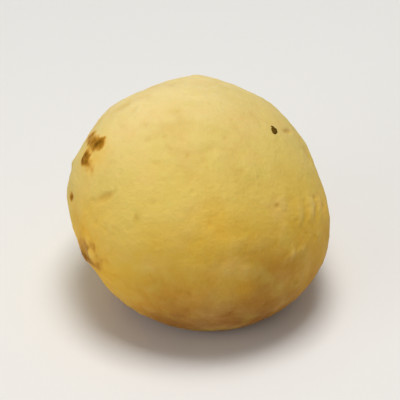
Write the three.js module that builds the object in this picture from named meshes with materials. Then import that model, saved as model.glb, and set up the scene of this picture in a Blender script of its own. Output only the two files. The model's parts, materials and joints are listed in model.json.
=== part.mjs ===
// A pao de queijo: a small round bread of tapioca starch and cheese, baked on a flat tray.
// Millimetres, +Z up. The origin is on the flat base, under the middle of the ball.
import * as THREE from "three";
import { mergeVertices } from "three/addons/utils/BufferGeometryUtils.js";

// The ball, before its features
const WIDTH = 57; // across its widest way
const FLATNESS = 0.88; // the short axis as a share of the wide ones
const LEAN = 25; // degrees that the short axis leans towards +X, where the dough slumped
const MIDDLE_HEIGHT = 21; // from the tray up to the middle of the ball
const FOOT_ROUNDING = 2; // height over which the side turns into the flat base
const MESH_DETAIL = 21; // cuts along each edge of the icosahedron that the skin starts as

// A feature sits at a bearing, anticlockwise from +X seen from above, and at a lift above the
// level of the ball's middle, both in degrees. It rises in the crust, or sinks where its rise is
// below 0, and fades out over its reach.
const SWELLS = [
  { bearing: 90, lift: 55, reach: 9, rise: 0.65 }, // low crown, a little behind the top
  { bearing: 9, lift: 12, reach: 20, rise: -1.3 }, // flatter flank on the slumped side
  { bearing: 134, lift: 46, reach: 14, rise: -0.6 },
  { bearing: 163, lift: 23, reach: 12, rise: -1 },
  { bearing: -162, lift: -22, reach: 16, rise: -0.8 },
  { bearing: -150, lift: 40, reach: 20, rise: 0.3 },
  { bearing: -35, lift: -6, reach: 17, rise: 0.5 },
  { bearing: -95, lift: 2, reach: 14, rise: -0.4 },
  { bearing: -140, lift: -14, reach: 15, rise: 0.4 },
  { bearing: 118, lift: -4, reach: 16, rise: 0.6 },
  { bearing: 48, lift: 0, reach: 15, rise: 0.5 },
];

// Cheese that bubbled through the crust and toasted
const BLISTERS = [
  { bearing: -170, lift: 39.5, reach: 3, rise: 0.5 },
  { bearing: -165, lift: 42, reach: 2.4, rise: 0.35 },
  { bearing: -167, lift: 31.5, reach: 2.8, rise: 0.55 },
  { bearing: 171, lift: 17.5, reach: 3.2, rise: 0.45 },
  { bearing: 178, lift: 5, reach: 4, rise: 0.4 },
  { bearing: -140.5, lift: -1, reach: 3.2, rise: 0.5 },
  { bearing: -152, lift: -9, reach: 3.2, rise: 0.4 },
  { bearing: -6, lift: 52.5, reach: 2.2, rise: 0.35 },
  { bearing: 104, lift: 31, reach: 3, rise: 0.5 },
  { bearing: 112, lift: 24, reach: 2.4, rise: 0.4 },
  { bearing: 42, lift: -4, reach: 3, rise: 0.45 },
];

// Bubbles that burst and left a small hollow
const PORES = [
  { bearing: -134, lift: 57.5, reach: 2.6, rise: -0.4 },
  { bearing: -166, lift: 13.5, reach: 2.2, rise: -0.6 },
  { bearing: -108, lift: 44, reach: 2.2, rise: -0.3 },
  { bearing: -48, lift: 25, reach: 2.2, rise: -0.35 },
  { bearing: 8.5, lift: 60, reach: 2.2, rise: -0.35 },
  { bearing: 66, lift: 38, reach: 2.4, rise: -0.45 },
  { bearing: 152, lift: 12, reach: 2.2, rise: -0.4 },
];

// Single creases of the crust, and one low fold
const CREASES = [
  { from: { bearing: -146, lift: 23 }, to: { bearing: -136, lift: 31 }, reach: 2, rise: -0.25 },
  { from: { bearing: 8, lift: 28 }, to: { bearing: 1, lift: 26 }, reach: 2.2, rise: -0.35 },
  { from: { bearing: -54, lift: 5 }, to: { bearing: -41, lift: 5 }, reach: 2.4, rise: 0.35 },
  { from: { bearing: 60, lift: 14 }, to: { bearing: 76, lift: 8 }, reach: 2.2, rise: -0.3 },
];

// Soft ridges side by side, slanting down the flank that the slump pressed together. Those in the
// middle of the row rise to WRINKLE_RISE, and the row dies away at both ends.
const WRINKLES = 6;
const FIRST_WRINKLE = { from: { bearing: -44.5, lift: 29 }, to: { bearing: -48, lift: 23.5 } };
const WRINKLE_STEP = { bearing: 8, lift: -4.7 };
const WRINKLE_REACH = 2.2;
const WRINKLE_RISE = 0.3;

// Shallow unevenness all over
const DIMPLES = 110;
const DIMPLE_REACH = [4, 7.5];
const DIMPLE_RISE = [-0.2, 0.14];
const DIMPLE_JITTER = 0.5; // of the spacing between dimples
const SEED = 31;

const COLOUR = 0xe6c878;
const ROUGHNESS = 0.62;

const radians = THREE.MathUtils.degToRad;
const GOLDEN_ANGLE = Math.PI * (3 - Math.sqrt(5));

// The unit direction that a bearing and a lift give.
function facing({ bearing, lift }) {
  const [b, l] = [radians(bearing), radians(lift)];
  return new THREE.Vector3(Math.cos(l) * Math.cos(b), Math.cos(l) * Math.sin(b), Math.sin(l));
}

const shortAxis = facing({ bearing: 0, lift: 90 - LEAN });

// The point of the plain ball, a leaning spheroid round the origin, in a direction.
function onBall(direction) {
  const alongShort = direction.dot(shortAxis) ** 2;
  const half = WIDTH / 2;
  const stretch = Math.sqrt(1 - alongShort + alongShort / FLATNESS ** 2);
  return direction.clone().multiplyScalar(half / stretch);
}

// 1 at a feature's centre, falling smoothly to 0 at its reach.
function fade(distance, reach) {
  return 1 - THREE.MathUtils.smoothstep(distance, 0, reach);
}

function spot({ bearing, lift, reach, rise }) {
  const centre = onBall(facing({ bearing, lift }));
  return (point) => rise * fade(point.distanceTo(centre), reach);
}

// A groove or a ridge along the crust between two places.
function line({ from, to, reach, rise }) {
  const chord = new THREE.Line3(onBall(facing(from)), onBall(facing(to)));
  const nearest = new THREE.Vector3();
  return (point) => {
    chord.closestPointToPoint(point, true, nearest);
    return rise * fade(point.distanceTo(onBall(nearest.normalize())), reach);
  };
}

// The place that is a number of wrinkle steps on from another.
function stepped({ bearing, lift }, steps) {
  return {
    bearing: bearing + steps * WRINKLE_STEP.bearing,
    lift: lift + steps * WRINKLE_STEP.lift,
  };
}

function wrinkles() {
  return Array.from({ length: WRINKLES }, (_, n) =>
    line({
      from: stepped(FIRST_WRINKLE.from, n),
      to: stepped(FIRST_WRINKLE.to, n),
      reach: WRINKLE_REACH,
      rise: WRINKLE_RISE * Math.sin((Math.PI * (n + 1)) / (WRINKLES + 1)),
    }),
  );
}

// Dimples on a spiral that spaces them evenly, each shifted a little at random.
function dimples() {
  THREE.MathUtils.seededRandom(SEED);
  const random = (low, high) => low + (high - low) * THREE.MathUtils.seededRandom();
  const spacing = Math.sqrt((4 * Math.PI) / DIMPLES);
  return Array.from({ length: DIMPLES }, (_, n) => {
    const height = 1 - (2 * n + 1) / DIMPLES;
    const shift = () => random(-DIMPLE_JITTER, DIMPLE_JITTER) * spacing;
    const direction = new THREE.Vector3()
      .setFromCylindricalCoords(Math.sqrt(1 - height ** 2), n * GOLDEN_ANGLE, height)
      .add(new THREE.Vector3(shift(), shift(), shift()))
      .normalize();
    const centre = onBall(direction);
    const reach = random(...DIMPLE_REACH);
    const rise = random(...DIMPLE_RISE);
    return (point) => rise * fade(point.distanceTo(centre), reach);
  });
}

// The height of a point after the tray flattened what lay below it: the side turns under
// over FOOT_ROUNDING above and below the tray, and everything lower lies flat.
function settled(height) {
  if (height >= FOOT_ROUNDING) return height;
  return Math.max(height + FOOT_ROUNDING, 0) ** 2 / (4 * FOOT_ROUNDING);
}

function crustGeometry() {
  const skin = new THREE.IcosahedronGeometry(1, MESH_DETAIL);
  skin.deleteAttribute("normal");
  skin.deleteAttribute("uv");
  const geometry = mergeVertices(skin);
  const spots = [...SWELLS, ...BLISTERS, ...PORES].map(spot);
  const relief = [...spots, ...CREASES.map(line), ...wrinkles(), ...dimples()];
  const places = geometry.getAttribute("position");
  const direction = new THREE.Vector3();
  for (let i = 0; i < places.count; i++) {
    direction.fromBufferAttribute(places, i).normalize();
    const point = onBall(direction);
    const rise = relief.reduce((sum, height) => sum + height(point), 0);
    point.addScaledVector(direction, rise);
    places.setXYZ(i, point.x, point.y, settled(point.z + MIDDLE_HEIGHT));
  }
  geometry.computeVertexNormals();
  return geometry;
}

const crust = new THREE.MeshStandardMaterial({
  color: COLOUR,
  roughness: ROUGHNESS,
  metalness: 0,
});
const ball = new THREE.Mesh(crustGeometry(), crust);
ball.name = "cheese_ball";

const bread = new THREE.Group();
bread.add(ball);
export default bread;
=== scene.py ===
"""Pao de queijo: the looks of a small round cheese bread, modelled over its solid on a plain stage.

A place on the ball is given as a baker would turn it: a bearing, anticlockwise from +X seen from
above, and a lift above the level of the ball's middle, both in degrees. Lengths are in metres, apart
from those of the marks on the crust, which are in millimetres.
"""

import json
import math
from collections import namedtuple
from contextlib import contextmanager

import bpy
import numpy as np
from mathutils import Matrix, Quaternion, Vector, noise

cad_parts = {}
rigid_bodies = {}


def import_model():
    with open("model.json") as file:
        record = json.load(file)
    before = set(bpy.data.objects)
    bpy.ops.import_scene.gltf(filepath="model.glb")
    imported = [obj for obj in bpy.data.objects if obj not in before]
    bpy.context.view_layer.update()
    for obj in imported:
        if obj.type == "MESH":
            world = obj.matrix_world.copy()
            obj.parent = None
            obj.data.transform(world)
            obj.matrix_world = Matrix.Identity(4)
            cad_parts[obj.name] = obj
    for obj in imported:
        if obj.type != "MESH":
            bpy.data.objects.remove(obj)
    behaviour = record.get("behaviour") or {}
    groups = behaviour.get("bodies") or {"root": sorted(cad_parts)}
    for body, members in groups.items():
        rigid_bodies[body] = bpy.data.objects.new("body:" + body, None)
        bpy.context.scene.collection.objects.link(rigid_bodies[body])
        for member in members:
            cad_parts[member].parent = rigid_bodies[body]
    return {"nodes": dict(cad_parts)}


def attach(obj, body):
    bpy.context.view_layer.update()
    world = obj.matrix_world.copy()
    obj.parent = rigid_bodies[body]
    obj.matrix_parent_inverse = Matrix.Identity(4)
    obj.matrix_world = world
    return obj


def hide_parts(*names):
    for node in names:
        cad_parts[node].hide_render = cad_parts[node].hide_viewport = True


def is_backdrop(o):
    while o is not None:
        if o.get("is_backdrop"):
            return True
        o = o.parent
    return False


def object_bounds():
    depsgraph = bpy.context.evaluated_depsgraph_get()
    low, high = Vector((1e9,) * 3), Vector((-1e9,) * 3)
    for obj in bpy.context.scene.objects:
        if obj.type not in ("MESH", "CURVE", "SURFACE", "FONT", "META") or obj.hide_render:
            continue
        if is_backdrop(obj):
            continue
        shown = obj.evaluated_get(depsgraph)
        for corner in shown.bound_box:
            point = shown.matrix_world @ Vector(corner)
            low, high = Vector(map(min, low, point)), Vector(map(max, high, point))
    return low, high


bl_info = {
    "name": "Pao de Queijo",
    "version": (1, 0, 0),
    "blender": (4, 5, 0),
    "location": "View3D > Sidebar > Bread",
    "description": "Bakes the crust of a cheese bread over its solid and sets it on a stage",
    "category": "Object",
}

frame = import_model()
CAD_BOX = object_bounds()
BREAD_NODE = "cheese_ball"

MM = 0.001
MIDDLE = Vector((0, 0, 0.021))  # of the ball, above the tray
HALF_WIDTH = 0.0285  # across its widest way
FLATNESS = 0.88  # the short axis as a share of the wide ones
LEAN = math.radians(25)  # of the short axis towards +X, where the dough slumped
CAP_TURN = (math.radians(-28), math.radians(-14), 0)  # of the pale cap, towards the back and -X: it puts painted light on the far top and painted shade on the +X flank

BASE_EDGE = 0.4 * MM  # up to this height the base stays flat
BASE_FADE = 2.5 * MM  # and over this height above it the unevenness sets in
FOOT_HEIGHT = 3 * MM  # below it the crust has no grains and no pores
TRAY_HEAT = 5 * MM  # up to this height the tray browned the crust

# Size of the lumps in each unevenness of the crust, from broad to fine
SWELL_LUMP = 11 * MM
DIMPLE_LUMP = 3.6 * MM
PIMPLE_LUMP = 1.1 * MM
FULL_RELIEF = 0.4 * MM  # rise or depth past which the painted shade of hollows and the painted light of rises change no further

# Cheese that bubbled through the crust. A bubble stands up by its rise. Toast runs from 0, as pale
# as the crust round it, to 1, scorched. Reach and rise are in millimetres. A bubble or a dent without
# toast also clears the toast of those before it, so the order counts.
Blister = namedtuple("Blister", "bearing lift reach rise toast")
BLISTERS = (
    # A long toasted streak, high on the -X side
    Blister(-163.8, 42.3, 1.9, 0.08, 0.90),
    Blister(-165.7, 40.6, 1.9, 0.14, 1.0),
    Blister(-170.6, 39.4, 2.0, 0.12, 0.62),
    Blister(-174.4, 37.6, 1.8, 0.08, 0.64),
    Blister(-175.6, 39.0, 1.4, 0.05, 0.46),
    Blister(-179.0, 37.4, 2.2, 0.10, 0.60),
    Blister(177.6, 34.8, 1.4, 0.05, 0.46),
    Blister(-168.9, 38.6, 1.6, 0.06, 0.66),
    Blister(-162.4, 44.2, 1.3, 0.04, 0.56),
    # A scorched spot below it, with a faint tail
    Blister(-167.4, 33.2, 1.6, 0.12, 1.0),
    Blister(-164.4, 34.2, 1.4, 0.08, 0.84),
    Blister(-163.2, 32.6, 1.6, 0.08, 0.92),
    Blister(-166.4, 31.6, 1.6, 0.10, 1.0),
    Blister(-165.2, 32.8, 1.2, 0.03, 0.90),
    Blister(-159.6, 32.4, 1.7, 0.04, 0.34),
    Blister(-155.8, 32.4, 1.6, 0.03, 0.26),
    # A pale bubble, and a small browned pit
    Blister(174.0, 18.6, 2.6, 0.26, 0.0),
    Blister(-167.0, 12.8, 1.5, -0.25, 0.62),
    Blister(-164.2, 14.0, 1.0, -0.05, 0.40),
    # A browned patch low on the front, round a pale bubble, partly toasted cheese and partly painted shade
    # at its lower edge, and two more pale bubbles above it
    Blister(-145.5, -2.5, 6.4, 0.05, 0.30),
    Blister(-151.0, -4.6, 4.2, 0.04, 0.48),
    Blister(-142.9, -1.9, 4.6, 0.02, 0.72),
    Blister(-140.9, -0.6, 2.6, 0.36, 0.0),
    Blister(-151.8, -8.0, 3.0, 0.04, 0.74),
    Blister(-147.4, -7.6, 2.6, 0.05, 0.86),
    Blister(-142.2, -5.6, 2.2, 0.03, 0.62),
    Blister(-144.4, 5.4, 1.6, 0.20, 0.0),
    Blister(-131.2, 8.0, 1.8, 0.18, 0.0),
    # Dents and bubbles among the wrinkles of the pressed flank
    Blister(-49.1, 26.7, 1.2, -0.26, 0.0),
    Blister(-24.5, 14.6, 1.5, -0.16, 0.0),
    Blister(-30.0, 5.0, 1.6, 0.10, 0.0),
    Blister(-48.5, 5.8, 1.5, 0.20, 0.0),
    Blister(-52.5, 13.5, 1.6, 0.12, 0.0),
    # Shallow dents of the front and the top, and one low bubble
    Blister(-135.5, 57.0, 1.9, -0.20, 0.0),
    Blister(-161.6, 48.1, 2.2, -0.12, 0.0),
    Blister(-145.4, 30.9, 1.3, -0.16, 0.0),
    Blister(-139.6, 16.0, 1.7, -0.14, 0.0),
    Blister(-148.5, 8.5, 1.7, -0.14, 0.0),
    Blister(-112.2, 43.5, 1.9, -0.14, 0.0),
    Blister(-94.5, 40.0, 1.4, -0.14, 0.0),
    Blister(-99.3, 39.0, 1.5, 0.12, 0.0),
    Blister(0.1, 64.3, 2.4, -0.14, 0.0),
    # A toasted mark on the back, with a small one below it
    Blister(104.0, 31.0, 2.8, 0.20, 0.72),
    Blister(107.6, 29.2, 2.2, 0.16, 0.94),
    Blister(111.4, 27.2, 1.9, 0.10, 0.62),
    Blister(106.2, 34.0, 1.5, 0.06, 0.50),
    Blister(100.4, 28.4, 1.3, 0.05, 0.42),
    Blister(114.5, 22.6, 1.8, 0.12, 0.58),
    # A toasted mark between the +X side and the back, and a browned pit higher up
    Blister(42.0, -4.0, 3.2, 0.16, 0.66),
    Blister(46.4, -1.6, 2.2, 0.12, 0.88),
    Blister(38.6, -7.4, 1.7, 0.05, 0.46),
    Blister(66.0, 38.0, 1.6, -0.20, 0.65),
)
BLISTER_FOOT = 0.7  # the part of a blister's reach that rises or sinks
CRATER_FOOT = 0.35  # the part of its reach that fell in where it burst
CRATER_DEPTH = 0.4  # of its rise
PALE_EDGE = 1.4  # how fast the toast round a pale bubble clears towards its middle

TOAST_FADE = 0.6  # below 1, so that a mark stays dark over most of its reach
FRAYS = ((1.5 * MM, 0.6 * MM), (0.7 * MM, 0.25 * MM))  # of a mark's edge: size of the lumps, and shift
FRECKLE_RANGE = ((0.4, 0.1), (0.8, 0.35))  # the least and the most reach and toast of a freckle

# Golden patches on the crust: a bloom round toasted cheese, and in places painted warm bounce light and
# shade
BloomAndBounce = namedtuple("BloomAndBounce", "bearing lift reach strength")
BLOOMS_AND_BOUNCE = (
    BloomAndBounce(-163, 36, 8, 0.6),
    BloomAndBounce(-84, 26, 6, 0.55),
    # Partly a bloom round the browned patch low on the front, partly painted warm bounce light
    BloomAndBounce(-147, 2, 15, 0.95),
    # Painted warm shade and bounce light low on the +X flank
    BloomAndBounce(-25, -6, 20, 0.4),
    BloomAndBounce(-74, -4, 6, 0.4),
    BloomAndBounce(108, 27, 8, 0.7),
    BloomAndBounce(42, -4, 9, 0.6),
)

# Single creases, cracks and folds of the skin, from one place to another. They bow to one side by a
# number of degrees.
Crease = namedtuple("Crease", "bearings lifts reach rise bow", defaults=(0,))
CREASES = (
    Crease((-147.5, -141), (22, 25.8), 1.1, -0.20),
    Crease((-141, -138), (25.8, 28.6), 1.4, -0.30),
    Crease((-138, -135), (28.6, 32), 1.1, -0.22),
    Crease((0, 9.5), (46.6, 40.6), 0.75, -0.44),
    Crease((8, 1), (28, 26), 1.4, -0.16),
    Crease((-54.5, -40), (3.4, 5.8), 1.3, 0.20),
    Crease((-49.5, -47), (3, 8.5), 1.0, 0.16),
    Crease((60, 76), (14, 8), 1.3, -0.12, 2),
    Crease((178, 171), (22, 13), 1.3, 0.10),
    Crease((120, 131), (44, 47), 1.0, -0.16, 1),
)
CREASE_STEPS = 12
CREASE_SWAY = 0.4  # degrees

WRINKLES = 6  # soft ridges side by side, on the flank that the slump pressed together
FIRST_WRINKLE = Crease((-43.5, -48), (30, 22.5), 1.9, 0.34, 0.8)
WRINKLE_STEP = (8, -4.7)  # of bearing and of lift, from one wrinkle to the next
WRINKLE_STAGGER = 2  # degrees of lift, up and down
WRINKLE_PHASE = 2.5  # radians of that up and down, from one wrinkle to the next

# Faint level creases where the skin stretched, drawn at random
STRETCH_DEPTHS = (0.05, 0.08, 0.12)
STRETCH_REACH = 0.8
STRETCH_PLACES = ((-180, -15), (180, 70))  # the lowest and the highest bearing and lift
STRETCH_SHAPES = ((2, -0.35, -1.5), (6, 0.35, 1.5))  # the least and the most half length, slope, bow

# Small spots scattered over the crust, grains that stand up and pores that sink, in three sizes each.
# Of all of them, a share has each size.
Spot = namedtuple("Spot", "share reach rise")
GRAINS = (Spot(0.6, 1.0, 0.06), Spot(0.3, 1.5, 0.11), Spot(0.1, 2.4, 0.18))
PORES = (Spot(0.5, 0.7, -0.1), Spot(0.35, 0.95, -0.15), Spot(0.15, 1.3, -0.22))

# Scorched bits of cheese that stuck to the crust, each turned by an angle, and with a tail that
# bends to one side or to the other. Slimness is the width as a share of the length.
Fleck = namedtuple("Fleck", "bearing lift length slimness turn tail")
FLECKS = (
    Fleck(-8.9, 52.5, 2.3, 0.54, -182, -0.75),
    Fleck(78, 36, 2.0, 0.6, 30, 0.5),
    Fleck(84, 33, 1.0, 0.7, 80, 0.0),
    Fleck(140, 14, 1.1, 0.5, 120, 0.4),
    Fleck(40, 10, 1.3, 0.5, 150, 0.4),
)
FLECK_DETAIL = 4
FLECK_THICKNESS = (0.08, 0.25)  # of its length: the least, and what a slimness of 1 adds
FLECK_KNOBS = ((0.04, 0.18, 0.35), (0.08, -0.1, 0.2))  # share of points; rise and reach, of half its length
TAIL_TUCK = 0.4  # of half its length, for a tail of 1

# The stage: a round floor, a light overhead, a larger one from the side, and where the camera aims
FLOOR_RADIUS = 0.9
FLOOR_SIDES = 128
WALL_BEND = 0.35  # radius of the curve from the floor up into the wall
WALL_STEPS = 10
KEY_SIZE = 0.25
KEY_PLACE = (0.015, -0.01, 0.61)
FILL_SIZE = 0.6
FILL_PLACE = (-0.64, -0.42, 0.17)
AIM = MIDDLE + Vector((0, 0, 1 * MM))


def linear(hex_colour):
    """A colour as a shader counts it, from its six hex digits."""
    parts = [int(hex_colour[n : n + 2], 16) / 255 for n in (0, 2, 4)]
    return tuple(p / 12.92 if p <= 0.04045 else ((p + 0.055) / 1.055) ** 2.4 for p in parts)


def colour(name, description, hex_colour):
    return bpy.props.FloatVectorProperty(
        name=name,
        description=description,
        subtype="COLOR",
        size=3,
        min=0,
        max=1,
        default=linear(hex_colour),
    )


def length(name, description, default):
    return bpy.props.FloatProperty(
        name=name, description=description, default=default, min=0, unit="LENGTH", precision=5
    )


class BreadSkin(bpy.types.PropertyGroup):
    """The relief of the crust"""

    cells: bpy.props.IntProperty(
        name="Cells",
        description="Cells along each side of the cube that is swollen into the ball",
        default=32,
        min=8,
        max=32,
    )
    fineness: bpy.props.IntProperty(
        name="Fineness", description="How often each cell is halved", default=2, min=0, max=2
    )
    swell: length("Swell", "Height of the broad unevenness", 0.5 * MM)
    dimple: length("Dimple", "Height of the low dimples", 0.32 * MM)
    pimple: length("Pimple", "Height of the fine unevenness", 0.1 * MM)
    pores: bpy.props.IntProperty(
        name="Pores", description="Small bubbles that burst in the crust", default=260, min=0
    )
    grains: bpy.props.IntProperty(
        name="Grains", description="Bits of cheese that stand up under the skin", default=300, min=0
    )
    freckles: bpy.props.IntProperty(
        name="Freckles", description="Small spots that browned a little", default=16, min=0
    )
    stretches: bpy.props.IntProperty(
        name="Stretch Marks", description="Faint level marks of the stretched skin", default=90, min=0
    )
    seed: bpy.props.IntProperty(
        name="Seed", description="Draws the small marks and frays the edges of the toast", default=7
    )


class BreadColours(bpy.types.PropertyGroup):
    """The colours of the bread and its stage"""

    # From cream at the top to tan low down, these crust colours are partly baking and partly painted light:
    # a paler lit top, warmer painted shade low down.
    cream: colour("Cream", "Crust at the very top, least baked", "e9d290")
    pale: colour("Pale Yellow", "Crust round the cap", "e0c77b")
    yellow: colour("Yellow", "Crust of the upper half", "ddc26b")
    straw: colour("Straw", "Crust round the middle", "dfc05f")
    gold: colour("Gold", "Crust below the middle", "dcb345")
    tan: colour("Tan", "Crust low down", "c49236")
    base: colour("Base", "Crust that met the tray", "9a692e")
    blush: colour("Blush", "Patches that are a little redder", "e6b872")
    hay: colour("Hay", "Patches that are a little greener", "d0bc58")
    # Used for the golden bloom round toasted cheese and for patches of painted warm bounce light and shade
    bloom_and_bounce: colour("BloomAndBounce", "Crust where the oven was hottest", "e9b63c")
    halo: colour("Halo", "Edge of toasted cheese", "d29c3c")
    toast: colour("Toast", "Toasted cheese", "9a6914")
    scorch: colour("Scorch", "Scorched cheese", "6c4402")
    burnt: colour("Burnt", "Flecks that burnt through", "5a4206")
    floor: colour("Floor", "Floor of the stage", "eceae6")


class BreadStage(bpy.types.PropertyGroup):
    """The camera and the light"""

    elevation: bpy.props.FloatProperty(
        name="Elevation",
        description="Of the camera above the level of the ball",
        default=math.radians(35),
        subtype="ANGLE",
    )
    distance: length("Distance", "From the camera to the middle of the ball", 0.45)
    lens: bpy.props.FloatProperty(
        name="Lens", description="Focal length of the camera", default=192, unit="CAMERA"
    )
    key: bpy.props.FloatProperty(
        name="Key", description="Power of the main light", default=2.5, unit="POWER"
    )
    fill: bpy.props.FloatProperty(
        name="Fill", description="Power of the light that opens the shade", default=2.0, unit="POWER"
    )
    sky: bpy.props.FloatProperty(
        name="Sky", description="Strength of the light from all round", default=0.3, min=0
    )


# Modelling by hand


def work_on(piece):
    bpy.ops.object.select_all(action="DESELECT")
    piece.select_set(True)
    bpy.context.view_layer.objects.active = piece


@contextmanager
def editing(piece):
    """Edit mode, by vertices."""
    work_on(piece)
    bpy.ops.object.mode_set(mode="EDIT")
    bpy.ops.mesh.select_mode(type="VERT")
    yield
    bpy.ops.object.mode_set(mode="OBJECT")


def places(piece):
    """Where the piece's vertices are, one row each."""
    found = np.empty(len(piece.data.vertices) * 3)
    piece.data.vertices.foreach_get("co", found)
    return found.reshape(-1, 3)


def normals(piece):
    found = np.empty(len(piece.data.vertices) * 3)
    piece.data.vertex_normals.foreach_get("vector", found)
    return found.reshape(-1, 3)


def pick(piece, chosen):
    """Select the chosen vertices, and nothing else."""
    mesh = piece.data
    mesh.polygons.foreach_set("select", np.zeros(len(mesh.polygons), bool))
    mesh.edges.foreach_set("select", np.zeros(len(mesh.edges), bool))
    mesh.vertices.foreach_set("select", chosen)


def press(piece, chosen, rise, reach, falloff="SMOOTH"):
    """Raise the chosen vertices, and less and less what lies within reach of them."""
    pick(piece, chosen)
    with editing(piece):
        bpy.ops.transform.shrink_fatten(
            value=rise,
            use_proportional_edit=True,
            proportional_edit_falloff=falloff,
            proportional_size=reach,
        )


def use_modifier(piece, kind, **settings):
    """Add a modifier and apply it."""
    work_on(piece)
    modifier = piece.modifiers.new(kind.title(), kind)
    for name, value in settings.items():
        setattr(modifier, name, value)
    bpy.ops.object.modifier_apply(modifier=modifier.name)


def store(piece, name, values):
    """Keep one number for each vertex, which a material can read."""
    work_on(piece)
    bpy.ops.geometry.attribute_add(name=name, domain="POINT", data_type="FLOAT")
    piece.data.attributes[name].data.foreach_set("value", np.asarray(values, np.float32))


def facing(bearing, lift):
    """The unit direction from the middle of the ball to a place on it."""
    turn, rise = math.radians(bearing), math.radians(lift)
    level = math.cos(rise)
    return Vector((level * math.cos(turn), level * math.sin(turn), math.sin(rise)))


def on_crust(crust, bearing, lift):
    """The point of the crust at a place, and the way it faces there."""
    hit, point, normal, _ = crust.ray_cast(MIDDLE, facing(bearing, lift))
    if not hit:
        raise RuntimeError(f"the crust has no place at {bearing}, {lift}")
    return point, normal


def near(points, centre):
    """The distance of each point from a centre."""
    return np.linalg.norm(points - np.array(centre), axis=1)


def nearest(points, centre):
    """A mask of the one point that is nearest to a centre."""
    chosen = np.zeros(len(points), bool)
    chosen[near(points, centre).argmin()] = True
    return chosen


# The crust


def raise_dough(sizes):
    """A cube swollen into a ball that leans and lies on the solid's form."""
    bpy.ops.object.select_all(action="DESELECT")
    bpy.ops.mesh.primitive_cube_add(size=HALF_WIDTH, location=MIDDLE)
    crust = bpy.context.object
    crust.name = crust.data.name = "crust"
    with editing(crust):
        bpy.ops.mesh.select_all(action="SELECT")
        bpy.ops.mesh.subdivide(number_cuts=sizes.cells - 1)
        bpy.ops.transform.tosphere(value=1)
    radius = np.linalg.norm(places(crust), axis=1).mean()
    swelling = HALF_WIDTH / radius
    with editing(crust):
        bpy.ops.mesh.select_all(action="SELECT")
        bpy.ops.transform.resize(
            value=(swelling, swelling, swelling * FLATNESS), center_override=MIDDLE
        )
        bpy.ops.transform.rotate(value=-LEAN, orient_axis="Y", center_override=MIDDLE)
    bpy.ops.object.transform_apply(location=True, rotation=True, scale=True)
    use_modifier(crust, "SHRINKWRAP", target=frame["nodes"][BREAD_NODE])
    use_modifier(crust, "SUBSURF", levels=sizes.fineness, render_levels=sizes.fineness)
    return crust


def free_of_tray(crust):
    """A vertex group that leaves out the flat base, and fades in above it."""
    group = crust.vertex_groups.new(name="free of the tray")
    height = np.clip((places(crust)[:, 2] - BASE_EDGE) / BASE_FADE, 0, 1)
    for index in np.flatnonzero(height):
        group.add([int(index)], float(height[index]), "REPLACE")
    return group.name


def roughen(crust, group, lump, height):
    """Raise and sink the crust by a cloudy pattern."""
    texture = bpy.data.textures.new("clouds", type="CLOUDS")
    texture.noise_scale = lump
    use_modifier(
        crust,
        "DISPLACE",
        texture=texture,
        texture_coords="LOCAL",
        strength=height,
        mid_level=0.5,
        vertex_group=group,
    )
    bpy.data.textures.remove(texture)


def along(crease, part):
    """Places along the middle part of a crease, which bows and sways a little."""
    for step in range(CREASE_STEPS + 1):
        share = 0.5 + part * (step / CREASE_STEPS - 0.5)
        sway = CREASE_SWAY * math.sin(3 * math.pi * share + crease.bearings[0])
        aside = sway + crease.bow * math.sin(math.pi * share)
        bearing = crease.bearings[0] + share * (crease.bearings[1] - crease.bearings[0]) + aside
        yield bearing, crease.lifts[0] + share * (crease.lifts[1] - crease.lifts[0])


def pinch(crust, creases):
    """Press creases of one depth into the crust at once, or raise ridges. They die away at the ends."""
    points = places(crust)
    for part in (1, 0.5):
        chosen = np.zeros(len(points), bool)
        for crease in creases:
            for bearing, lift in along(crease, part):
                chosen |= nearest(points, on_crust(crust, bearing, lift)[0])
        press(crust, chosen, creases[0].rise * MM / 2, creases[0].reach * MM)


def stretch_marks(sizes):
    """Short level creases at random, all faint, in a few depths."""
    random = np.random.default_rng(sizes.seed)
    for depth in STRETCH_DEPTHS:
        marks = []
        for _ in range(sizes.stretches // len(STRETCH_DEPTHS)):
            bearing, lift = random.uniform(*STRETCH_PLACES)
            half, slope, bow = random.uniform(*STRETCH_SHAPES)
            ends = (bearing - half, bearing + half), (lift - half * slope, lift + half * slope)
            marks.append(Crease(*ends, STRETCH_REACH, -depth, bow))
        yield marks


def wrinkles():
    """The ridges of the pressed flank, staggered: the row dies away at both ends."""
    for step in range(WRINKLES):
        aside = WRINKLE_STAGGER * math.cos(WRINKLE_PHASE * step)
        bearings = tuple(b + step * WRINKLE_STEP[0] for b in FIRST_WRINKLE.bearings)
        lifts = tuple(a + step * WRINKLE_STEP[1] + aside for a in FIRST_WRINKLE.lifts)
        rise = FIRST_WRINKLE.rise * math.sin(math.pi * (step + 1) / (WRINKLES + 1))
        yield FIRST_WRINKLE._replace(bearings=bearings, lifts=lifts, rise=rise)


def scatter(crust, random, count, spots, falloff):
    """Raise or sink a number of spots that are drawn at random, above the foot of the ball."""
    for spot in spots:
        points = places(crust)
        high = np.flatnonzero(points[:, 2] > FOOT_HEIGHT)
        chosen = np.zeros(len(points), bool)
        chosen[random.choice(high, int(spot.share * count), replace=False)] = True
        press(crust, chosen, spot.rise * MM, spot.reach * MM, falloff)


def speckle(crust, sizes):
    """Bits of cheese under the skin, and small hollows where bubbles burst."""
    random = np.random.default_rng(sizes.seed)
    scatter(crust, random, sizes.grains, GRAINS, "SMOOTH")
    scatter(crust, random, sizes.pores, PORES, "SHARP")


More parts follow.
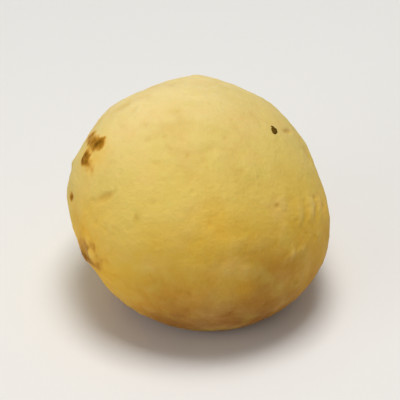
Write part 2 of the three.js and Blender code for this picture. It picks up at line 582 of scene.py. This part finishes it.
def raise_blister(crust, blister):
    """Swell one bubble of cheese, burst in the middle where it toasted."""
    middle = nearest(places(crust), on_crust(crust, blister.bearing, blister.lift)[0])
    reach = blister.reach * MM
    rise = blister.rise * MM
    if rise < 0 or not blister.toast:
        press(crust, middle, rise, BLISTER_FOOT * reach)
    else:
        press(crust, middle, rise, BLISTER_FOOT * reach, "SPHERE")
        press(crust, middle, -CRATER_DEPTH * rise, CRATER_FOOT * reach)


def cone(points, centre, reach):
    """1 at a centre, falling evenly to 0 at its reach."""
    return np.clip(1 - near(points, centre) / (reach * MM), 0, 1)


def frayed(points, lump, shift, seed):
    """The points, shifted by a cloudy pattern, so that what spreads round a point has no smooth edge."""
    noise.seed_set(seed)
    return points + shift * np.array([noise.noise_vector(Vector(point) / lump) for point in points])


def toasting(crust, sizes):
    """How toasted each vertex is: 1 at the middle of a scorched blister, 0 past its reach."""
    points = places(crust)
    melted = points
    for lump, shift in FRAYS:
        melted = frayed(melted, lump, shift, sizes.seed)
    toast = np.zeros(len(points))
    for blister in BLISTERS:
        spot = cone(melted, on_crust(crust, blister.bearing, blister.lift)[0], blister.reach)
        if blister.toast:
            toast = np.maximum(toast, blister.toast * spot**TOAST_FADE)
        else:
            toast *= np.clip(1 - PALE_EDGE * spot, 0, 1)
    random = np.random.default_rng(sizes.seed)
    for index in random.integers(len(points), size=sizes.freckles):
        reach, strength = random.uniform(*FRECKLE_RANGE)
        toast = np.maximum(toast, strength * cone(points, points[index], reach))
    return toast


def bloom_and_bounce_shares(crust):
    """How golden each vertex is: a bloom round the toasted cheese, and painted warm bounce light and shade
    in places.
    """
    points = places(crust)
    bloom_and_bounce = np.zeros(len(points))
    for spot in BLOOMS_AND_BOUNCE:
        share = cone(points, on_crust(crust, spot.bearing, spot.lift)[0], spot.reach)
        bloom_and_bounce = np.maximum(bloom_and_bounce, spot.strength * share**2 * (3 - 2 * share))
    return bloom_and_bounce


class BREAD_OT_crust(bpy.types.Operator):
    """Model the crust over the solid, with its blisters, pores, creases and wrinkles"""

    bl_idname = "bread.crust"
    bl_label = "Crust"

    def execute(self, context):
        sizes = context.scene.bread_skin
        crust = raise_dough(sizes)
        smooth_places, smooth_normals = places(crust), normals(crust)
        group = free_of_tray(crust)
        roughen(crust, group, SWELL_LUMP, sizes.swell)
        roughen(crust, group, DIMPLE_LUMP, sizes.dimple)
        for crease in (*CREASES, *wrinkles()):
            pinch(crust, [crease])
        for marks in stretch_marks(sizes):
            pinch(crust, marks)
        for blister in BLISTERS:
            raise_blister(crust, blister)
        speckle(crust, sizes)
        roughen(crust, group, PIMPLE_LUMP, sizes.pimple)
        relief = ((places(crust) - smooth_places) * smooth_normals).sum(axis=1)
        store(crust, "relief", np.clip(relief / FULL_RELIEF, -1, 1))
        store(crust, "toast", toasting(crust, sizes))
        store(crust, "bloom_and_bounce", bloom_and_bounce_shares(crust))
        crust.vertex_groups.clear()
        bpy.ops.object.shade_smooth()
        crust.data.materials.append(crust_material(context.scene.bread_colours))
        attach(crust, "root")
        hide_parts(BREAD_NODE)
        return {"FINISHED"}


# The scorched flecks


def crumble(fleck, seed):
    """One scorched bit: a flattened lump with an uneven outline and a tail, lying at the origin."""
    bpy.ops.object.select_all(action="DESELECT")
    half = fleck.length * MM / 2
    least, more = FLECK_THICKNESS
    bpy.ops.mesh.primitive_ico_sphere_add(subdivisions=FLECK_DETAIL, radius=half)
    bit = bpy.context.object
    with editing(bit):
        bpy.ops.mesh.select_all(action="SELECT")
        bpy.ops.transform.resize(value=(1, fleck.slimness, more * fleck.slimness + least))
        for share, rise, reach in FLECK_KNOBS:
            bpy.ops.mesh.select_all(action="DESELECT")
            bpy.ops.mesh.select_random(ratio=share, seed=seed)
            bpy.ops.transform.shrink_fatten(
                value=rise * half,
                use_proportional_edit=True,
                proportional_edit_falloff="SMOOTH",
                proportional_size=reach * half,
            )
    if fleck.tail:
        pick(bit, nearest(places(bit), (-half, 0, 0)))
        with editing(bit):
            bpy.ops.transform.translate(
                value=(TAIL_TUCK * half * abs(fleck.tail), half * fleck.tail, 0),
                use_proportional_edit=True,
                proportional_edit_falloff="SMOOTH",
                proportional_size=half,
            )
    return bit


class BREAD_OT_flecks(bpy.types.Operator):
    """Model the scorched bits of cheese that stick to the crust"""

    bl_idname = "bread.flecks"
    bl_label = "Scorched Flecks"

    def execute(self, context):
        crust = bpy.data.objects["crust"]
        bits = []
        for number, fleck in enumerate(FLECKS):
            bit = crumble(fleck, number + 1)
            point, normal = on_crust(crust, fleck.bearing, fleck.lift)
            turn = Quaternion((0, 0, 1), math.radians(fleck.turn))
            bit.rotation_euler = (normal.to_track_quat("Z", "Y") @ turn).to_euler()
            bit.location = point
            bits.append(bit)
        bpy.ops.object.select_all(action="DESELECT")
        for bit in bits:
            bit.select_set(True)
        context.view_layer.objects.active = bits[0]
        bpy.ops.object.join()
        flecks = context.object
        flecks.name = flecks.data.name = "scorched_flecks"
        bpy.ops.object.transform_apply(location=True, rotation=True, scale=True)
        bpy.ops.object.shade_smooth()
        flecks.data.materials.append(fleck_material(context.scene.bread_colours))
        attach(flecks, "root")
        return {"FINISHED"}


# Finishes


def add_node(tree, kind, inputs=None, **settings):
    """A shader node, with its settings, and with its sockets set or linked by name or number."""
    node = tree.nodes.new(kind)
    for name, value in settings.items():
        setattr(node, name, value)
    for name, value in (inputs or {}).items():
        if isinstance(value, bpy.types.NodeSocket):
            tree.links.new(value, node.inputs[name])
        else:
            node.inputs[name].default_value = value
    return node


def rgba(rgb):
    return (*rgb, 1)


def new_material(name):
    material = bpy.data.materials.new(name)
    material.use_nodes = True
    tree = material.node_tree
    return material, tree, tree.nodes["Principled BSDF"]


def mottle_group():
    """Cloudy variation between a low and a high value, in lumps of a given size."""
    found = bpy.data.node_groups.get("Oven Mottle")
    if found:
        return found
    group = bpy.data.node_groups.new("Oven Mottle", "ShaderNodeTree")
    sockets = group.interface
    sockets.new_socket("Place", in_out="INPUT", socket_type="NodeSocketVector")
    for name, default in (("Lumps per Metre", 100), ("Detail", 3), ("Low", 0), ("High", 1)):
        socket = sockets.new_socket(name, in_out="INPUT", socket_type="NodeSocketFloat")
        socket.default_value = default
    sockets.new_socket("Value", in_out="OUTPUT", socket_type="NodeSocketFloat")
    given = group.nodes.new("NodeGroupInput")
    clouds = add_node(
        group,
        "ShaderNodeTexNoise",
        {
            "Vector": given.outputs["Place"],
            "Scale": given.outputs["Lumps per Metre"],
            "Detail": given.outputs["Detail"],
        },
    )
    spread = add_node(
        group,
        "ShaderNodeMapRange",
        {
            "Value": clouds.outputs["Fac"],
            "From Min": 0.3,
            "From Max": 0.7,
            "To Min": given.outputs["Low"],
            "To Max": given.outputs["High"],
        },
    )
    taken = group.nodes.new("NodeGroupOutput")
    group.links.new(spread.outputs["Result"], taken.inputs["Value"])
    return group


def mottle(tree, place, lumps, low, high, detail=3):
    inputs = {"Place": place, "Lumps per Metre": lumps, "Detail": detail, "Low": low, "High": high}
    return add_node(tree, "ShaderNodeGroup", inputs, node_tree=mottle_group()).outputs["Value"]


def maths(tree, operation, *values):
    inputs = dict(enumerate(values))
    return add_node(tree, "ShaderNodeMath", inputs, operation=operation).outputs[0]


def ramp(tree, value, *stops):
    """A colour for each value, from stops of a value and its colour."""
    node = add_node(tree, "ShaderNodeValToRGB", {"Fac": value})
    elements = node.color_ramp.elements
    for number, (position, rgb) in enumerate(stops):
        element = elements[number] if number < 2 else elements.new(position)
        element.position = position
        element.color = rgba(rgb)
    return node.outputs["Color"]


def step_up(tree, value, low, high):
    """0 at low and 1 at high, smoothly between them and level beyond, whichever of them is greater."""
    node = add_node(
        tree,
        "ShaderNodeMapRange",
        {"Value": value, "From Min": low, "From Max": high},
        interpolation_type="SMOOTHSTEP",
    )
    return node.outputs["Result"]


def mix(tree, share, first, second, blend="MIX"):
    node = add_node(tree, "ShaderNodeMix", data_type="RGBA", blend_type=blend)
    for socket, value in (("Factor_Float", share), ("A_Color", first), ("B_Color", second)):
        found = next(s for s in node.inputs if s.identifier == socket)
        if isinstance(value, bpy.types.NodeSocket):
            tree.links.new(value, found)
        else:
            found.default_value = value
    return next(s for s in node.outputs if s.identifier == "Result_Color")


def attribute(tree, name):
    return add_node(tree, "ShaderNodeAttribute", attribute_name=name).outputs["Fac"]


def crust_material(colours):
    """Thin baked skin: cream on top, golden low down, partly baking and partly painted light and shade,
    with toasted cheese.
    """
    material, tree, skin = new_material("Crust")
    place = add_node(tree, "ShaderNodeTexCoord").outputs["Object"]
    tilted = add_node(
        tree,
        "ShaderNodeMapping",
        {
            "Vector": place,
            "Location": MIDDLE,
            "Rotation": CAP_TURN,
            "Scale": (HALF_WIDTH, HALF_WIDTH, HALF_WIDTH * FLATNESS),
        },
        vector_type="TEXTURE",
    )
    level = add_node(tree, "ShaderNodeSeparateXYZ", {0: tilted.outputs[0]}).outputs["Z"]
    above_tray = add_node(tree, "ShaderNodeSeparateXYZ", {0: place}).outputs["Z"]
    by_tray = maths(tree, "MULTIPLY_ADD", step_up(tree, above_tray, TRAY_HEAT, 0), -0.4, level)
    uneven = maths(tree, "ADD", by_tray, mottle(tree, place, 70, -0.1, 0.1))
    # The ramp from cream on top to tan low down is partly baking and partly painted light: a paler lit top,
    # warmer painted shade below.
    baked = ramp(
        tree,
        maths(tree, "MULTIPLY_ADD", uneven, 0.5, 0.5),
        (0.05, colours.base),
        (0.2, colours.tan),
        (0.38, colours.gold),
        (0.55, colours.straw),
        (0.72, colours.yellow),
        (0.88, colours.pale),
        (1, colours.cream),
    )
    blushed = mix(tree, mottle(tree, place, 130, -0.35, 0.25), baked, rgba(colours.blush))
    varied = mix(tree, mottle(tree, place, 170, -0.4, 0.3, 4), blushed, rgba(colours.hay))
    # Golden bloom, and in places painted warm bounce light and shade
    bloom_and_bounce = maths(tree, "MULTIPLY", attribute(tree, "bloom_and_bounce"), mottle(tree, place, 260, 0.5, 1.1))
    golden = mix(tree, bloom_and_bounce, varied, rgba(colours.bloom_and_bounce))
    # Painted shade darkens the hollows of the relief towards gold, and painted light pales its rises
    depth = maths(tree, "MULTIPLY", attribute(tree, "relief"), -0.4)
    painted_hollow_shade = mix(tree, depth, golden, rgba(colours.gold), "MULTIPLY")
    height = maths(tree, "MULTIPLY", attribute(tree, "relief"), 0.35)
    painted_ridge_light = mix(tree, height, painted_hollow_shade, rgba(colours.pale))
    ragged = mottle(tree, place, 800, 0.56, 1.18, 6)
    toast = maths(tree, "MULTIPLY", attribute(tree, "toast"), ragged)
    haloed = mix(tree, step_up(tree, toast, 0.03, 0.34), painted_ridge_light, rgba(colours.halo))
    toasted = mix(tree, step_up(tree, toast, 0.18, 0.58), haloed, rgba(colours.toast))
    scorched = mix(tree, step_up(tree, toast, 0.55, 0.95), toasted, rgba(colours.scorch))
    tree.links.new(scorched, skin.inputs["Base Color"])
    tree.links.new(mottle(tree, place, 350, 0.52, 0.7), skin.inputs["Roughness"])
    grain = maths(tree, "ADD", mottle(tree, place, 1300, 0, 1), mottle(tree, place, 4000, 0, 0.4))
    bump = add_node(tree, "ShaderNodeBump", {"Height": grain, "Strength": 0.7, "Distance": 0.1 * MM})
    tree.links.new(bump.outputs["Normal"], skin.inputs["Normal"])
    skin.inputs["Specular IOR Level"].default_value = 0.06
    skin.inputs["Subsurface Weight"].default_value = 0.15
    skin.inputs["Subsurface Radius"].default_value = (1, 0.6, 0.25)
    skin.inputs["Subsurface Scale"].default_value = 1.5 * MM
    return material


def fleck_material(colours):
    """Scorched cheese, nearly black where it burnt through."""
    material, tree, bit = new_material("Scorched Cheese")
    place = add_node(tree, "ShaderNodeTexCoord").outputs["Object"]
    burnt = mix(tree, mottle(tree, place, 1500, 0, 0.5), rgba(colours.burnt), rgba(colours.scorch))
    tree.links.new(burnt, bit.inputs["Base Color"])
    tree.links.new(mottle(tree, place, 900, 0.7, 0.95), bit.inputs["Roughness"])
    grain = add_node(
        tree,
        "ShaderNodeBump",
        {"Height": mottle(tree, place, 3000, 0, 1), "Strength": 0.6, "Distance": 0.05 * MM},
    )
    tree.links.new(grain.outputs["Normal"], bit.inputs["Normal"])
    bit.inputs["Specular IOR Level"].default_value = 0.12
    return material


def floor_material(colours):
    """Plain pale card."""
    material, tree, card = new_material("Pale Card")
    place = add_node(tree, "ShaderNodeTexCoord").outputs["Object"]
    tree.links.new(mottle(tree, place, 40, 0.75, 0.85), card.inputs["Roughness"])
    card.inputs["Base Color"].default_value = rgba(colours.floor)
    card.inputs["Specular IOR Level"].default_value = 0.2
    return material


# The stage


def sweep_floor(colours):
    """A round floor that curves up into a low wall, with nothing to see beyond it."""
    bpy.ops.object.select_all(action="DESELECT")
    bpy.ops.mesh.primitive_circle_add(vertices=FLOOR_SIDES, radius=FLOOR_RADIUS, fill_type="NGON")
    floor = bpy.context.object
    floor.name = floor.data.name = "floor"
    with editing(floor):
        bpy.ops.mesh.select_all(action="SELECT")
        bpy.ops.mesh.select_mode(type="FACE")
        bpy.ops.mesh.select_mode(type="EDGE")
        for step in range(WALL_STEPS):
            before = math.pi / 2 * step / WALL_STEPS
            after = math.pi / 2 * (step + 1) / WALL_STEPS
            out = FLOOR_RADIUS + WALL_BEND * math.sin(before)
            further = FLOOR_RADIUS + WALL_BEND * math.sin(after)
            up = WALL_BEND * (math.cos(before) - math.cos(after))
            bpy.ops.mesh.extrude_edges_move(TRANSFORM_OT_translate={"value": (0, 0, up)})
            bpy.ops.transform.resize(value=(further / out, further / out, 1))
    bpy.ops.object.shade_smooth()
    floor.data.materials.append(floor_material(colours))
    floor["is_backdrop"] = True
    return floor


def hang_light(name, power, size, place):
    """A square soft light that faces the ball."""
    bpy.ops.object.light_add(type="AREA", location=place)
    light = bpy.context.object
    light.name = name
    light.data.energy = power
    light.data.size = size
    light.rotation_euler = (MIDDLE - Vector(place)).to_track_quat("-Z", "Y").to_euler()


class BREAD_OT_stage(bpy.types.Operator):
    """Set the floor, the light and the camera"""

    bl_idname = "bread.stage"
    bl_label = "Stage"

    def execute(self, context):
        stage = context.scene.bread_stage
        sweep_floor(context.scene.bread_colours)
        hang_light("key", stage.key, KEY_SIZE, KEY_PLACE)
        hang_light("fill", stage.fill, FILL_SIZE, FILL_PLACE)
        world = bpy.data.worlds.new("Sky")
        world.use_nodes = True
        background = world.node_tree.nodes["Background"]
        background.inputs["Color"].default_value = (1, 1, 1, 1)
        background.inputs["Strength"].default_value = stage.sky
        context.scene.world = world
        context.scene.view_settings.view_transform = "Standard"
        away = Vector((0, -math.cos(stage.elevation), math.sin(stage.elevation)))
        bpy.ops.object.camera_add(location=AIM + stage.distance * away)
        camera = context.object
        camera.name = "camera"
        camera.rotation_euler = away.to_track_quat("Z", "Y").to_euler()
        camera.data.lens = stage.lens
        context.scene.camera = camera
        return {"FINISHED"}


class BREAD_PT_panel(bpy.types.Panel):
    """The steps of the bread, in order"""

    bl_idname = "BREAD_PT_panel"
    bl_label = "Pao de Queijo"
    bl_space_type = "VIEW_3D"
    bl_region_type = "UI"
    bl_category = "Bread"

    def draw(self, context):
        layout = self.layout
        for group in (context.scene.bread_skin, context.scene.bread_colours, context.scene.bread_stage):
            box = layout.box()
            for name in group.__annotations__:
                box.prop(group, name)
        for operator in OPERATORS:
            layout.operator(operator.bl_idname)


OPERATORS = (BREAD_OT_stage, BREAD_OT_crust, BREAD_OT_flecks)
GROUPS = {"bread_skin": BreadSkin, "bread_colours": BreadColours, "bread_stage": BreadStage}


def register():
    for group in GROUPS.values():
        bpy.utils.register_class(group)
    for operator in OPERATORS:
        bpy.utils.register_class(operator)
    bpy.utils.register_class(BREAD_PT_panel)
    for name, group in GROUPS.items():
        setattr(bpy.types.Scene, name, bpy.props.PointerProperty(type=group))


def unregister():
    for name in GROUPS:
        delattr(bpy.types.Scene, name)
    bpy.utils.unregister_class(BREAD_PT_panel)
    for operator in reversed(OPERATORS):
        bpy.utils.unregister_class(operator)
    for group in reversed(GROUPS.values()):
        bpy.utils.unregister_class(group)


def main():
    register()
    bpy.ops.bread.stage()
    bpy.ops.bread.crust()
    bpy.ops.bread.flecks()
    visual_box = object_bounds()
    [[list(corner) for corner in box] for box in (CAD_BOX, visual_box)]


if __name__ == "__main__":
    main()
